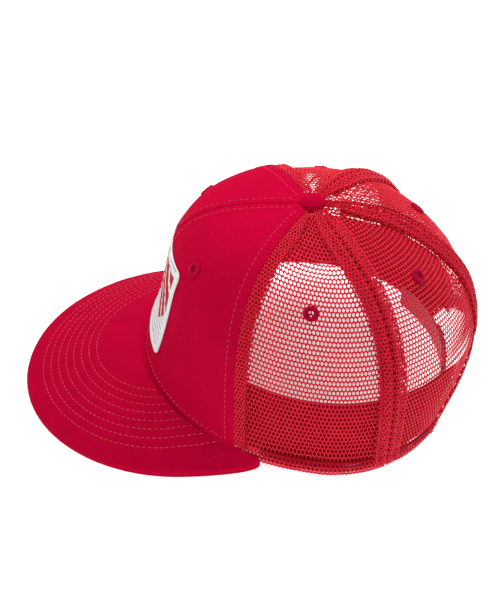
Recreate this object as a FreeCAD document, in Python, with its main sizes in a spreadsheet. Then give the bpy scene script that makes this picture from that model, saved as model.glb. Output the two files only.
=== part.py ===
import FreeCAD
import Part
import math
import os

# Six-panel trucker cap, flat bill, mesh sides and rear, snap strap closure.
# Frame in millimetres: origin at the centre of the head opening on the table
# plane, +Z up, the peak points to -Y, the wearer's left side is +X.

os.makedirs("parts", exist_ok=True)
doc = FreeCAD.newDocument("cap")
Vector = FreeCAD.Vector

SIZE_TABLE = {
    "rim_front": 101.2,
    "rim_rear": 72.6,
    "rim_half_width": 93.1,
    "rim_roundness": 2.04,
    "crown_height": 119.4,
    "crown_top_shift": -5.3,
    "rim_front_rise": 27.6,
    "rim_side_rise": 7.5,
    "rim_rear_rise": 2.6,
    "shoulder_front": 3.15,
    "shoulder_side": 2.71,
    "shoulder_rear": 2.83,
    "bulge_front": -13.0,
    "bulge_side": 0.0,
    "bulge_rear": 17.2,
    "front_seam_bearing": 61.4,
    "rear_seam_bearing": 114.3,
    "seam_sway": 6.2,
    "panel_gap": 0.4,
    "twill_thickness": 0.9,
    "mesh_thickness": 0.8,
    "sweatband_height": 42.0,
    "arch_half_width": 48.0,
    "arch_height": 34.0,
    "hem_height": 5.0,
    "eyelet_height": 0.81,
    "eyelet_radius": 4.1,
    "eyelet_hole_radius": 1.6,
    "emblem_width": 66.0,
    "emblem_low": 38.0,
    "emblem_tall": 56.0,
    "emblem_corner": 7.0,
    "button_radius": 7.4,
    "button_height": 5.3,
    "peak_half_width": 91.2,
    "peak_widest": -80.1,
    "peak_length": 71.6,
    "peak_edge_height": 4.2,
    "peak_horn_bearing": 70.5,
    "peak_seam_gap": 1.3,
    "strap_centre": -25.8,
    "strap_low": 3.0,
    "strap_width": 15.0,
    "strap_inner_radius": 93.6,
    "strap_outer_radius": 95.1,
    "strap_thickness": 1.2,
    "snap_pitch_degrees": 4.8,
    "stud_radius": 2.0,
    "stud_length": 2.6,
    "snap_hole_radius": 2.6,
    "hole_strap_root_bearing": 26.3,
}

sizes = doc.addObject("Spreadsheet::Sheet", "Sizes")
for row_number, (size_name, size_value) in enumerate(SIZE_TABLE.items(), start=1):
    sizes.set("A%d" % row_number, size_name)
    sizes.set("B%d" % row_number, str(size_value))
    sizes.setAlias("B%d" % row_number, size_name)
doc.recompute()


def size(name):
    return float(getattr(sizes, name))


# ---------------------------------------------------------------- crown surface
def rim_radius(bearing):
    """Plan radius of the rim; bearing is zero at the peak and grows to the left."""
    forward = math.cos(bearing)
    sideways = math.sin(bearing)
    reach = size("rim_front") if forward > 0 else size("rim_rear")
    power = size("rim_roundness")
    total = (abs(forward) / reach) ** power
    total += (abs(sideways) / size("rim_half_width")) ** power
    return total ** (-1.0 / power)


def rim_height(bearing):
    """The rim rises towards the peak seam and a little at the sides and the rear."""
    front = size("rim_front_rise") * abs(math.cos(bearing / 2.0)) ** 5.5
    side = size("rim_side_rise") * math.sin(bearing) ** 2
    return front + side + size("rim_rear_rise") * max(-math.cos(bearing), 0.0) ** 2


def sway(bearing, angle):
    """Bearing after the gentle backward bow of the side and rear seams."""
    wrapped = math.atan2(math.sin(bearing), math.cos(bearing))
    front = math.radians(size("front_seam_bearing"))
    share = max(0.0, (abs(wrapped) - front) / (math.pi - front))
    bow = math.radians(size("seam_sway")) * math.sin(math.pi * share) ** 2
    return bearing + math.copysign(bow, wrapped) * math.sin(2.0 * angle)


def crown_raw(bearing, angle):
    """Point on the outer crown: angle runs from 0 at the rim to a quarter turn on top."""
    bearing = sway(bearing, angle)
    forward = math.cos(bearing)
    front_share = max(forward, 0.0) ** 1.5
    rear_share = max(-forward, 0.0) ** 1.5
    side_share = 1.0 - front_share - rear_share
    power = front_share * size("shoulder_front") + rear_share * size("shoulder_rear")
    power += side_share * size("shoulder_side")
    inward = max(math.cos(angle), 0.0) ** (2.0 / power)
    upward = max(math.sin(angle), 0.0) ** (2.0 / power)
    bulge = front_share * size("bulge_front") + rear_share * size("bulge_rear")
    bulge += side_share * size("bulge_side")
    radius = rim_radius(bearing) * inward + bulge * math.sin(math.pi * upward)
    low = rim_height(bearing)
    x = radius * math.sin(bearing)
    y = -radius * math.cos(bearing) + size("crown_top_shift") * upward
    return Vector(x, y, low + (size("crown_height") - low) * upward)


MERIDIANS = {}
MERIDIAN_STEPS = 360


def meridian(bearing):
    """Points and running lengths of one line from the rim to the top."""
    key = round(bearing, 7)
    if key not in MERIDIANS:
        points = []
        lengths = [0.0]
        for step in range(MERIDIAN_STEPS + 1):
            share = step / float(MERIDIAN_STEPS)
            eased = share * share * (3.0 - 2.0 * share)
            points.append(crown_raw(bearing, eased * math.pi / 2.0))
        for first, second in zip(points, points[1:]):
            lengths.append(lengths[-1] + (second - first).Length)
        MERIDIANS[key] = (points, lengths)
    return MERIDIANS[key]


def crown_at(bearing, along):
    """Point on the crown a given length up the meridian from the rim."""
    points, lengths = meridian(bearing)
    along = min(max(along, 0.0), lengths[-1])
    low = 0
    high = len(lengths) - 1
    while high - low > 1:
        middle = (low + high) // 2
        if lengths[middle] <= along:
            low = middle
        else:
            high = middle
    share = (along - lengths[low]) / max(lengths[high] - lengths[low], 1e-9)
    return points[low] + (points[high] - points[low]) * share


def crown_length(bearing):
    return meridian(bearing)[1][-1]


def crown_normal(bearing, along):
    across = crown_at(bearing + 0.004, along) - crown_at(bearing - 0.004, along)
    upward = crown_at(bearing, along + 1.5) - crown_at(bearing, max(along - 1.5, 0.0))
    normal = across.cross(upward)
    normal.normalize()
    return normal


def crown_skin(bearing, along, outward):
    return crown_at(bearing, along) + crown_normal(bearing, along) * outward


def plan_radius(bearing, along):
    point = crown_at(bearing, along)
    return math.hypot(point.x, point.y - size("crown_top_shift"))


# ---------------------------------------------------------------- solid helpers
def surface_through(grid):
    surface = Part.BSplineSurface()
    surface.interpolate(grid)
    return surface


def side_wall(first, second):
    return Part.makeRuledSurface(first.toShape(), second.toShape())


def thick_patch(outer_grid, inner_grid):
    """Closed solid between two four-sided curved sheets."""
    outer = surface_through(outer_grid)
    inner = surface_through(inner_grid)
    faces = [outer.toShape(), inner.toShape()]
    u_low, u_high, v_low, v_high = outer.bounds()
    p_low, p_high, q_low, q_high = inner.bounds()
    faces.append(side_wall(outer.uIso(u_low), inner.uIso(p_low)))
    faces.append(side_wall(outer.uIso(u_high), inner.uIso(p_high)))
    faces.append(side_wall(outer.vIso(v_low), inner.vIso(q_low)))
    faces.append(side_wall(outer.vIso(v_high), inner.vIso(q_high)))
    shell = Part.makeShell(faces)
    shell.sewShape()
    solid = Part.makeSolid(shell)
    if solid.Volume < 0:
        solid.reverse()
    return solid


def steps(low, high, count):
    return [low + (high - low) * i / (count - 1.0) for i in range(count)]


def crown_patch(bearing_from, bearing_to, along_from, along_to, outward, inward, columns, rows):
    """Curved sheet of crown cloth; bearings in degrees, along may be a function."""
    grids = []
    for depth in (outward, inward):
        grid = []
        for bearing in steps(math.radians(bearing_from), math.radians(bearing_to), columns):
            low = along_from(bearing) if callable(along_from) else along_from
            high = along_to(bearing) if callable(along_to) else along_to
            grid.append([crown_skin(bearing, along, depth) for along in steps(low, high, rows)])
        grids.append(grid)
    return thick_patch(grids[0], grids[1])


def near_top(clearance):
    """Length up the crown that stops a little short of the top centre."""
    def length(bearing):
        return crown_length(bearing) - clearance
    return length


def keep_largest(shape):
    """A boolean may return a compound; keep its one real solid."""
    return max(shape.Solids, key=lambda solid: solid.Volume)


def add_piece(name, shape):
    piece = doc.addObject("Part::Feature", name)
    piece.Label = name
    piece.Shape = shape
    return piece


PIECES = []


# ---------------------------------------------------------------- rear opening
def arch_prism(margin):
    """Upright half-ellipse prism through the rear of the crown."""
    half = size("arch_half_width") + margin
    tall = size("arch_height") + margin
    centre = Vector(0, 30, 0)
    if half >= tall:
        ellipse = Part.Ellipse(Vector(0, 0, 0), half, tall)
    else:
        ellipse = Part.Ellipse(Vector(0, tall, 0), Vector(-half, 0, 0), Vector(0, 0, 0))
    arc = Part.Arc(ellipse, 0.0, math.pi).toShape() if half >= tall else ellipse.toShape()
    left = Vector(-half, 0, 0)
    right = Vector(half, 0, 0)
    drop = Vector(0, -8, 0)
    lines = [Part.makeLine(left, left + drop)]
    lines.append(Part.makeLine(left + drop, right + drop))
    lines.append(Part.makeLine(right + drop, right))
    face = Part.Face(Part.Wire(Part.__sortEdges__([arc] + lines)))
    face.rotate(Vector(0, 0, 0), Vector(1, 0, 0), 90)
    face.translate(centre)
    return face.extrude(Vector(0, 100, 0))


# ---------------------------------------------------------------- eyelets
def eyelet_place(bearing_degrees):
    """Centre and outward direction of an eyelet, the same share of the height on each panel."""
    bearing = math.radians(bearing_degrees)
    low = rim_height(bearing)
    target = low + (size("crown_height") - low) * size("eyelet_height")
    below = 0.0
    above = crown_length(bearing)
    for _ in range(40):
        middle = (below + above) / 2.0
        if crown_at(bearing, middle).z < target:
            below = middle
        else:
            above = middle
    return crown_at(bearing, below), crown_normal(bearing, below)


def eyelet_bearings():
    front = size("front_seam_bearing") / 2.0
    side = (size("front_seam_bearing") + size("rear_seam_bearing")) / 2.0
    rear = (size("rear_seam_bearing") + 180.0) / 2.0
    return [front, -front, side, -side, rear, -rear]


def with_vent_hole(solid, bearing_degrees):
    centre, normal = eyelet_place(bearing_degrees)
    start = centre - normal * 6.0
    drill = Part.makeCylinder(size("eyelet_hole_radius"), 12.0, start, normal)
    return keep_largest(solid.cut(drill))


def make_eyelets():
    rings = []
    for bearing_degrees in eyelet_bearings():
        centre, normal = eyelet_place(bearing_degrees)
        bottom = centre + normal * 0.35
        outer = Part.makeCylinder(size("eyelet_radius"), 1.1, bottom, normal)
        hole = Part.makeCylinder(size("eyelet_hole_radius"), 3.0, bottom - normal, normal)
        ring = outer.cut(hole)
        rim_edges = [edge for edge in ring.Edges if edge.BoundBox.DiagonalLength > 9.0]
        rim_edges = [e for e in rim_edges if (e.CenterOfMass - bottom).Length > 0.9]
        rings.append(keep_largest(ring.makeFillet(0.4, rim_edges)))
    PIECES.append(add_piece("eyelets", Part.makeCompound(rings)))


# ---------------------------------------------------------------- crown cloth
def seam_margin():
    return math.degrees(size("panel_gap") / 2.0 / size("rim_half_width"))


def make_crown_panels():
    front = size("front_seam_bearing")
    rear = size("rear_seam_bearing")
    gap = seam_margin()
    twill = -size("twill_thickness")
    mesh = -size("mesh_thickness")
    top = near_top(6.0)
    opening = arch_prism(0.0)
    for side, sign in (("left", 1.0), ("right", -1.0)):
        panel = crown_patch(sign * gap, sign * (front - gap), 0.4, top, 0.0, twill, 13, 17)
        panel = with_vent_hole(panel, sign * front / 2.0)
        PIECES.append(add_piece("front_panel_" + side, panel))
        panel = crown_patch(sign * (front + gap), sign * (rear - gap), 0.4, top, 0.0, mesh, 13, 17)
        panel = with_vent_hole(panel, sign * (front + rear) / 2.0)
        PIECES.append(add_piece("mesh_side_" + side, panel))
        panel = crown_patch(sign * (rear + gap), sign * (180.0 - gap), 0.4, top, 0.0, mesh, 13, 17)
        panel = keep_largest(panel.cut(opening))
        panel = with_vent_hole(panel, sign * (rear + 180.0) / 2.0)
        PIECES.append(add_piece("mesh_rear_" + side, panel))


def make_front_backing():
    """Stiff buckram behind each front panel."""
    front = size("front_seam_bearing")
    for side, sign in (("left", 1.0), ("right", -1.0)):
        sheet = crown_patch(sign * 0.4, sign * (front - 0.6), 2.0, near_top(22.0), -1.1, -1.6, 11, 13)
        sheet = with_vent_hole(sheet, sign * front / 2.0)
        PIECES.append(add_piece("front_backing_" + side, sheet))


def seam_tape(bearing_degrees, along_from, half_width):
    """Narrow tape of even width that covers one seam on the inside."""
    bearing = math.radians(bearing_degrees)
    last = crown_length(bearing) - 15.0
    grids = []
    for depth in (-1.9, -2.4):
        grid = []
        for share in steps(-1.0, 1.0, 5):
            line = []
            for along in steps(along_from, last, 17):
                turned = bearing + share * half_width / plan_radius(bearing, along)
                line.append(crown_skin(turned, along, depth))
            grid.append(line)
        grids.append(grid)
    return thick_patch(grids[0], grids[1])


def make_seam_tapes():
    front = size("front_seam_bearing")
    rear = size("rear_seam_bearing")
    PIECES.append(add_piece("tape_front_centre", seam_tape(0.0, 3.0, 6.0)))
    PIECES.append(add_piece("tape_front_left", seam_tape(front, 3.0, 6.0)))
    PIECES.append(add_piece("tape_front_right", seam_tape(-front, 3.0, 6.0)))
    PIECES.append(add_piece("tape_rear_left", seam_tape(rear, 3.0, 6.0)))
    PIECES.append(add_piece("tape_rear_right", seam_tape(-rear, 3.0, 6.0)))
    start = size("arch_height") + 8.0
    PIECES.append(add_piece("tape_rear_centre", seam_tape(180.0, start, 6.0)))


def make_sweatband():
    """Folded sweatband inside the rim, open at the rear arch, with a foam strip in front."""
    tall = size("sweatband_height")

    def band_top(bearing):
        near_arch = min(max((abs(math.degrees(bearing)) - 138.0) / 20.0, 0.0), 1.0)
        return tall - 9.0 * near_arch ** 2

    band = crown_patch(-158.0, 158.0, 1.5, band_top, -3.5, -4.0, 49, 7)
    band = keep_largest(band.cut(arch_prism(0.6)))
    PIECES.append(add_piece("sweatband", band))
    foam = crown_patch(-58.0, 58.0, 5.0, tall - 6.0, -2.6, -3.4, 21, 5)
    PIECES.append(add_piece("sweatband_foam", foam))


def hem_end():
    """Bearing at which the rim hem meets the foot of the arch."""
    low = math.radians(120.0)
    high = math.radians(175.0)
    for _ in range(40):
        middle = (low + high) / 2.0
        if crown_at(middle, 2.0).x > size("arch_half_width") + 0.4:
            low = middle
        else:
            high = middle
    return math.degrees(low)


def make_hems():
    """Rolled mesh hem outside the lower edge, and the binding around the arch."""
    start = size("peak_horn_bearing") + 3.0
    tall = size("hem_height")
    for side, sign in (("left", 1.0), ("right", -1.0)):
        hem = crown_patch(sign * start, sign * hem_end(), 0.3, tall, 1.1, 0.2, 21, 4)
        PIECES.append(add_piece("rim_hem_" + side, hem))
    outer = crown_patch(132.0, 228.0, tall + 0.6, size("arch_height") + 18.0, 1.1, 0.2, 25, 9)
    ring = outer.common(arch_prism(5.0)).cut(arch_prism(0.0))
    PIECES.append(add_piece("arch_binding", keep_largest(ring)))


# ---------------------------------------------------------------- front patch
def make_front_emblem():
    """Blank generic patch sewn across the centre seam, with rounded corners."""
    cloth = crown_patch(-34.0, 34.0, 10.0, 80.0, 1.2, 0.3, 15, 9)
    half = size("emblem_width") / 2.0
    low = size("emblem_low")
    tall = size("emblem_tall")
    block = Part.makeBox(2.0 * half, 80.0, tall, Vector(-half, -130.0, low))
    corners = [edge for edge in block.Edges if abs(edge.Length - 80.0) < 0.01]
    block = block.makeFillet(size("emblem_corner"), corners)
    PIECES.append(add_piece("front_emblem", keep_largest(cloth.common(block))))


# ---------------------------------------------------------------- top button
def bound_primitive(kind, name, bindings):
    item = doc.addObject(kind, name)
    for prop, expression in bindings.items():
        item.setExpression(prop, expression)
    return item


def make_button():
    """Cloth-covered button: domed cover, hollow shell and the prong that holds it."""
    centre = "Sizes.crown_top_shift"
    base = "Sizes.crown_height + 0.3"
    ball = "(Sizes.button_radius^2 + Sizes.button_height^2) / (2 * Sizes.button_height)"
    dome = bound_primitive("Part::Sphere", "ButtonDome", {
        "Radius": ball,
        "Placement.Base.y": centre,
        "Placement.Base.z": base + " + Sizes.button_height - " + ball})
    hollow = bound_primitive("Part::Sphere", "ButtonHollow", {
        "Radius": ball + " - 0.8",
        "Placement.Base.y": centre,
        "Placement.Base.z": base + " + Sizes.button_height - " + ball})
    column = bound_primitive("Part::Cylinder", "ButtonColumn", {
        "Radius": "Sizes.button_radius",
        "Height": "Sizes.button_height + 2",
        "Placement.Base.y": centre,
        "Placement.Base.z": base})
    cap = doc.addObject("Part::Common", "ButtonCap")
    cap.Base = dome
    cap.Tool = column
    cover = doc.addObject("Part::Cut", "button_cover")
    cover.Label = "button_cover"
    cover.Base = cap
    cover.Tool = hollow
    inner_dome = bound_primitive("Part::Sphere", "ButtonInner", {
        "Radius": ball + " - 0.95",
        "Placement.Base.y": centre,
        "Placement.Base.z": base + " + Sizes.button_height - " + ball})
    inner_column = bound_primitive("Part::Cylinder", "ButtonInnerColumn", {
        "Radius": "Sizes.button_radius - 1.2",
        "Height": "Sizes.button_height",
        "Placement.Base.y": centre,
        "Placement.Base.z": base})
    core = doc.addObject("Part::Common", "ButtonCore")
    core.Base = inner_dome
    core.Tool = inner_column
    socket = bound_primitive("Part::Cylinder", "ButtonSocket", {
        "Radius": "1.7",
        "Height": "3.2",
        "Placement.Base.y": centre,
        "Placement.Base.z": base + " - 0.2"})
    shell = doc.addObject("Part::Cut", "button_shell")
    shell.Label = "button_shell"
    shell.Base = core
    shell.Tool = socket
    stem = bound_primitive("Part::Cylinder", "ProngStem", {
        "Radius": "1.5",
        "Height": "6",
        "Placement.Base.y": centre,
        "Placement.Base.z": "Sizes.crown_height - 3.2"})
    disc = bound_primitive("Part::Cylinder", "ProngDisc", {
        "Radius": "5.5",
        "Height": "0.8",
        "Placement.Base.y": centre,
        "Placement.Base.z": "Sizes.crown_height - 3.4"})
    prong = doc.addObject("Part::Fuse", "button_prong")
    prong.Label = "button_prong"
    prong.Base = stem
    prong.Tool = disc
    PIECES.extend([cover, shell, prong])


# ---------------------------------------------------------------- peak
def peak_outline(share):
    """Outer edge of the peak in plan: 0 at the tip, 1 at the horn on the +X side."""
    horn_bearing = math.radians(size("peak_horn_bearing"))
    horn = crown_at(horn_bearing, 0.0)
    horn_x = horn.x + 3.0
    horn_y = horn.y + 1.0
    tip_y = -size("rim_front") - size("peak_length")
    wide_x = size("peak_half_width")
    wide_y = size("peak_widest")
    turn = 0.66
    if share <= turn:
        angle = math.pi / 2.0 * (1.0 - share / turn)
        return wide_x * math.cos(angle), wide_y + (tip_y - wide_y) * math.sin(angle)
    angle = math.pi / 2.0 * (share - turn) / (1.0 - turn)
    x = horn_x + (wide_x - horn_x) * math.cos(angle)
    y = wide_y + (horn_y - wide_y) * math.sin(angle)
    return x, y


def peak_point(share, out, drop):
    """Point on the peak: share -1..1 from horn to horn, out 0 at the seam, 1 at the edge."""
    sign = 1.0 if share >= 0 else -1.0
    amount = abs(share)
    bearing = math.radians(size("peak_horn_bearing")) * amount
    seam = crown_skin(bearing, 0.0, size("peak_seam_gap"))
    seam_z = rim_height(bearing) + 1.2
    edge_x, edge_y = peak_outline(amount)
    edge_z = size("peak_edge_height")
    horn_z = rim_height(math.radians(size("peak_horn_bearing"))) + 1.2
    near_horn = max(0.0, (amount - 0.66) / 0.34)
    edge_z += (horn_z - edge_z) * near_horn ** 1.5
    x = seam.x + (edge_x - seam.x) * out
    y = seam.y + (edge_y - seam.y) * out
    z = seam_z + (edge_z - seam_z) * out + 1.2 * math.sin(math.pi * out) * (1.0 - near_horn)
    return Vector(sign * x, y, z - drop)


def peak_sheet(upper, lower, reach, inner, outer):
    grids = []
    for drop in (upper, lower):
        grid = []
        for share in steps(-reach, reach, 45):
            grid.append([peak_point(share, out, drop) for out in steps(inner, outer, 7)])
        grids.append(grid)
    return thick_patch(grids[0], grids[1])


def make_peak():
    """Peak board between a twill top cover and a twill under cover."""
    PIECES.append(add_piece("peak_top_cover", peak_sheet(0.0, 0.7, 1.0, 0.0, 1.0)))
    PIECES.append(add_piece("peak_board", peak_sheet(0.85, 2.75, 0.97, 0.04, 0.975)))
    PIECES.append(add_piece("peak_under_cover", peak_sheet(2.9, 3.5, 1.0, 0.0, 1.0)))


# ---------------------------------------------------------------- snap strap
def strap_arc(name, radius_key, start_degrees, end_degrees):
    """Upright curved band about the strap centre; bearings run from +Y towards +X."""
    span = end_degrees - start_degrees
    turn = 90.0 - end_degrees
    common = {
        "Placement.Base.y": "Sizes.strap_centre",
        "Placement.Base.z": "Sizes.strap_low"}
    outer = bound_primitive("Part::Cylinder", name + "Outer", dict(common, **{
        "Radius": "Sizes." + radius_key + " + Sizes.strap_thickness",
        "Height": "Sizes.strap_width"}))
    outer.Angle = span
    inner = bound_primitive("Part::Cylinder", name + "Inner", dict(common, **{
        "Radius": "Sizes." + radius_key,
        "Height": "Sizes.strap_width"}))
    for item in (outer, inner):
        item.Placement.Rotation = FreeCAD.Rotation(Vector(0, 0, 1), turn)
    band = doc.addObject("Part::Cut", name + "Band")
    band.Base = outer
    band.Tool = inner
    return band


def radial_pins(name, bearings, radius_expression, start_radius, length):
    pins = []
    for index, bearing in enumerate(bearings):
        pin = doc.addObject("Part::Cylinder", "%s%d" % (name, index))
        pin.setExpression("Radius", radius_expression)
        pin.Height = length
        angle = math.radians(bearing)
        direction = Vector(math.sin(angle), math.cos(angle), 0)
        start = Vector(0, size("strap_centre"), size("strap_low") + size("strap_width") / 2.0)
        pin.Placement = FreeCAD.Placement(
            start + direction * start_radius, FreeCAD.Rotation(Vector(0, 0, 1), direction))
        pins.append(pin)
    group = doc.addObject("Part::MultiFuse", name + "s")
    group.Shapes = pins
    return group


def rounded_tip(name, band, tip_degrees, radius):
    """Round the two corners at the free tip of a strap."""
    doc.recompute()
    angle = math.radians(tip_degrees)
    chosen = []
    for index, edge in enumerate(band.Shape.Edges, start=1):
        middle = edge.CenterOfMass
        bearing = math.atan2(middle.x, middle.y - size("strap_centre"))
        if edge.Length < 2.0 and abs(bearing - angle) < 0.01:
            chosen.append((index, radius, radius))
    rounded = doc.addObject("Part::Fillet", name)
    rounded.Base = band
    rounded.Edges = chosen
    return rounded


def make_straps():
    """Stud strap on the wearer's right, hole strap on the left, sharing one centre."""
    pitch = size("snap_pitch_degrees")
    stud_bearings = [pitch * step for step in range(-6, 2)]
    hole_bearings = [pitch * step for step in range(-3, 5)]
    root = size("hole_strap_root_bearing")
    stud_tip = stud_bearings[-1] + 4.0
    hole_tip = hole_bearings[0] - 2.8
    band = strap_arc("StudStrap", "strap_inner_radius", -41.0, stud_tip)
    band = rounded_tip("StudStrapTip", band, stud_tip, 6.0)
    start = size("strap_inner_radius") + 0.4
    studs = radial_pins("Stud", stud_bearings, "Sizes.stud_radius", start, size("stud_length"))
    stud_strap = doc.addObject("Part::Fuse", "stud_strap")
    stud_strap.Label = "stud_strap"
    stud_strap.Base = band
    stud_strap.Tool = studs
    band = strap_arc("HoleStrap", "strap_outer_radius", hole_tip, root)
    band = rounded_tip("HoleStrapTip", band, hole_tip, 6.0)
    start = size("strap_outer_radius") - 2.0
    drills = radial_pins("Drill", hole_bearings, "Sizes.snap_hole_radius", start, 6.0)
    hole_strap = doc.addObject("Part::Cut", "hole_strap")
    hole_strap.Label = "hole_strap"
    hole_strap.Base = band
    hole_strap.Tool = drills
    tab = strap_arc("HoleTab", "strap_outer_radius", root + 0.3, root + 9.2)
    doc.recompute()
    tab_piece = add_piece("hole_strap_root", tab.Shape)
    PIECES.extend([stud_strap, hole_strap, tab_piece])


make_crown_panels()
make_front_backing()
make_seam_tapes()
make_sweatband()
make_hems()
make_eyelets()
make_front_emblem()
make_button()
make_peak()
make_straps()
doc.recompute()

for item in doc.Objects:
    for flag in ("Invalid", "Error"):
        if flag in item.State:
            raise RuntimeError("%s is in state %s" % (item.Name, item.State))

for piece in PIECES:
    shape = piece.Shape
    if shape.isNull() or not shape.isValid() or shape.Volume <= 0:
        raise RuntimeError("%s has no valid solid" % piece.Label)
    shape.exportStep("parts/%s.step" % piece.Label)
    print("%-20s %2d solids %9.1f mm3" % (piece.Label, len(shape.Solids), shape.Volume))
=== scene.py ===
import bpy
import math
import random
import numpy as np
from mathutils import Matrix, Vector
from mathutils.bvhtree import BVHTree


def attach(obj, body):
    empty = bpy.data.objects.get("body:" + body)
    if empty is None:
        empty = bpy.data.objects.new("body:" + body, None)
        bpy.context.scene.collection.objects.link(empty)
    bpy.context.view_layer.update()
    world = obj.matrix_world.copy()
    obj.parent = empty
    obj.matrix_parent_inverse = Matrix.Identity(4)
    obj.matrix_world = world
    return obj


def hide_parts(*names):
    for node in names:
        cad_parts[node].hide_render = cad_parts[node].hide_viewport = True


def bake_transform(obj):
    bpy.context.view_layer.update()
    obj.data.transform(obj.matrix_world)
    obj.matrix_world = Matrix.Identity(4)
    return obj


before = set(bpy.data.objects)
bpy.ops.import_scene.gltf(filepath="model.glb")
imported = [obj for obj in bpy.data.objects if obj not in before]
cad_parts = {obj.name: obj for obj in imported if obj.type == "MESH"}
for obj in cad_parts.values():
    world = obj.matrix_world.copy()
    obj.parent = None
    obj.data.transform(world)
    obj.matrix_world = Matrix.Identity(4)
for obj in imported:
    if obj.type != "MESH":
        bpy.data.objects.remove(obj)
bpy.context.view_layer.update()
random.seed(7)
RNG = np.random.default_rng(11)
MM = 0.001
rad = np.radians

# ------------------------------------------------------------ crown surface (mm)
RIM_FRONT, RIM_REAR, RIM_SIDE, RIM_POWER = 101.2, 72.6, 93.1, 2.04
TOP_Z, TOP_SHIFT = 119.4, -5.3
FRONT_RISE, SIDE_RISE, REAR_RISE = 27.6, 7.5, 2.6
SHOULDER = (3.15, 2.71, 2.83)
BULGE = (-13.0, 0.0, 17.2)
SEAM_FRONT, SEAM_REAR, SEAM_SWAY = 61.4, 114.3, 6.2
ARCH_HALF, ARCH_TALL = 48.0, 34.0
BAND_TALL = 42.0
HORN = 70.5


def rim_radius(th):
    c, s = np.cos(th), np.sin(th)
    reach = np.where(c > 0, RIM_FRONT, RIM_REAR)
    return ((np.abs(c) / reach) ** RIM_POWER + (np.abs(s) / RIM_SIDE) ** RIM_POWER) ** (-1 / RIM_POWER)


def rim_height(th):
    return (FRONT_RISE * np.abs(np.cos(th / 2)) ** 5.5 + SIDE_RISE * np.sin(th) ** 2
            + REAR_RISE * np.maximum(-np.cos(th), 0) ** 2)


def crown_raw(th, angle):
    wrapped = np.arctan2(np.sin(th), np.cos(th))
    share = np.maximum(0, (np.abs(wrapped) - rad(SEAM_FRONT)) / (np.pi - rad(SEAM_FRONT)))
    bow = rad(SEAM_SWAY) * np.sin(np.pi * share) ** 2
    th = th + np.copysign(bow, wrapped) * np.sin(2 * angle)
    c = np.cos(th)
    front = np.clip(c, 0, 1) ** 1.5
    rear = np.clip(-c, 0, 1) ** 1.5
    side = 1 - front - rear
    power = front * SHOULDER[0] + side * SHOULDER[1] + rear * SHOULDER[2]
    inward = np.clip(np.cos(angle), 0, 1) ** (2 / power)
    upward = np.clip(np.sin(angle), 0, 1) ** (2 / power)
    bulge = front * BULGE[0] + side * BULGE[1] + rear * BULGE[2]
    r = rim_radius(th) * inward + bulge * np.sin(np.pi * upward)
    low = rim_height(th)
    return np.stack([r * np.sin(th), -r * np.cos(th) + TOP_SHIFT * upward,
                     low + (TOP_Z - low) * upward], -1)


class Crown:
    """Table of the crown surface by bearing (degrees) and length up from the rim (mm)."""
    STEPS = 480

    def __init__(self):
        self.deg = np.arange(-186.0, 186.01, 1.0)
        share = np.linspace(0, 1, 1200)
        eased = share * share * (3 - 2 * share) * np.pi / 2
        points, lengths = [], []
        for th in rad(self.deg):
            line = crown_raw(np.full(eased.shape, th), eased)
            run = np.r_[0, np.cumsum(np.linalg.norm(np.diff(line, axis=0), axis=1))]
            goal = np.linspace(0, run[-1], self.STEPS + 1)
            points.append(np.stack([np.interp(goal, run, line[:, k]) for k in range(3)], -1))
            lengths.append(run[-1])
        self.points = np.array(points)
        self.length = np.array(lengths)
        across = np.gradient(self.points, axis=0)
        upward = np.gradient(self.points, axis=1)
        normal = np.cross(across, upward)
        normal /= np.maximum(np.linalg.norm(normal, axis=-1, keepdims=True), 1e-9)
        normal[:, -3:] = (0, 0, 1)
        self.normal = normal
        self.push = np.zeros(self.points.shape[:2])

    def top(self, deg):
        return np.interp(deg, self.deg, self.length)

    def look(self, table, deg, along):
        deg, along = np.broadcast_arrays(np.asarray(deg, float), np.asarray(along, float))
        u = np.clip(deg - self.deg[0], 0, len(self.deg) - 1.001)
        v = np.clip(along / self.top(deg), 0, 1) * (self.STEPS - 1e-6)
        i, j = u.astype(int), v.astype(int)
        fu, fv = u - i, v - j
        if table.ndim == 3:
            fu, fv = fu[..., None], fv[..., None]
        return ((table[i, j] * (1 - fu) + table[i + 1, j] * fu) * (1 - fv)
                + (table[i, j + 1] * (1 - fu) + table[i + 1, j + 1] * fu) * fv)

    def at(self, deg, along, out=0.0):
        """Points on the crown, pushed outward by out; along below 0 carries on downward."""
        deg, along = np.broadcast_arrays(np.asarray(deg, float), np.asarray(along, float))
        base = self.look(self.points, deg, along)
        normal = self.look(self.normal, deg, along)
        push = self.look(self.push, deg, along)
        result = base + normal * (np.asarray(out, float) + push)[..., None]
        below = np.minimum(along, 0.0)
        result[..., 2] += below
        return result

    def radius(self, deg, along):
        p = self.look(self.points, deg, along)
        return np.hypot(p[..., 0], p[..., 1] - TOP_SHIFT)


CROWN = Crown()


def soft_noise(shape_points, scale, seed):
    """Smooth repeatable noise for an array of points, from a few sine waves."""
    gen = np.random.default_rng(seed)
    total = np.zeros(shape_points.shape[:-1])
    for _ in range(7):
        way = gen.normal(size=3)
        way /= np.linalg.norm(way)
        total += np.sin(shape_points @ way * (2 * np.pi / scale) * gen.uniform(0.7, 1.4) + gen.uniform(0, 6.28))
    return total / 7


# ------------------------------------------------------------ cloth simulation
SIM_FRAMES = 36


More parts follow.
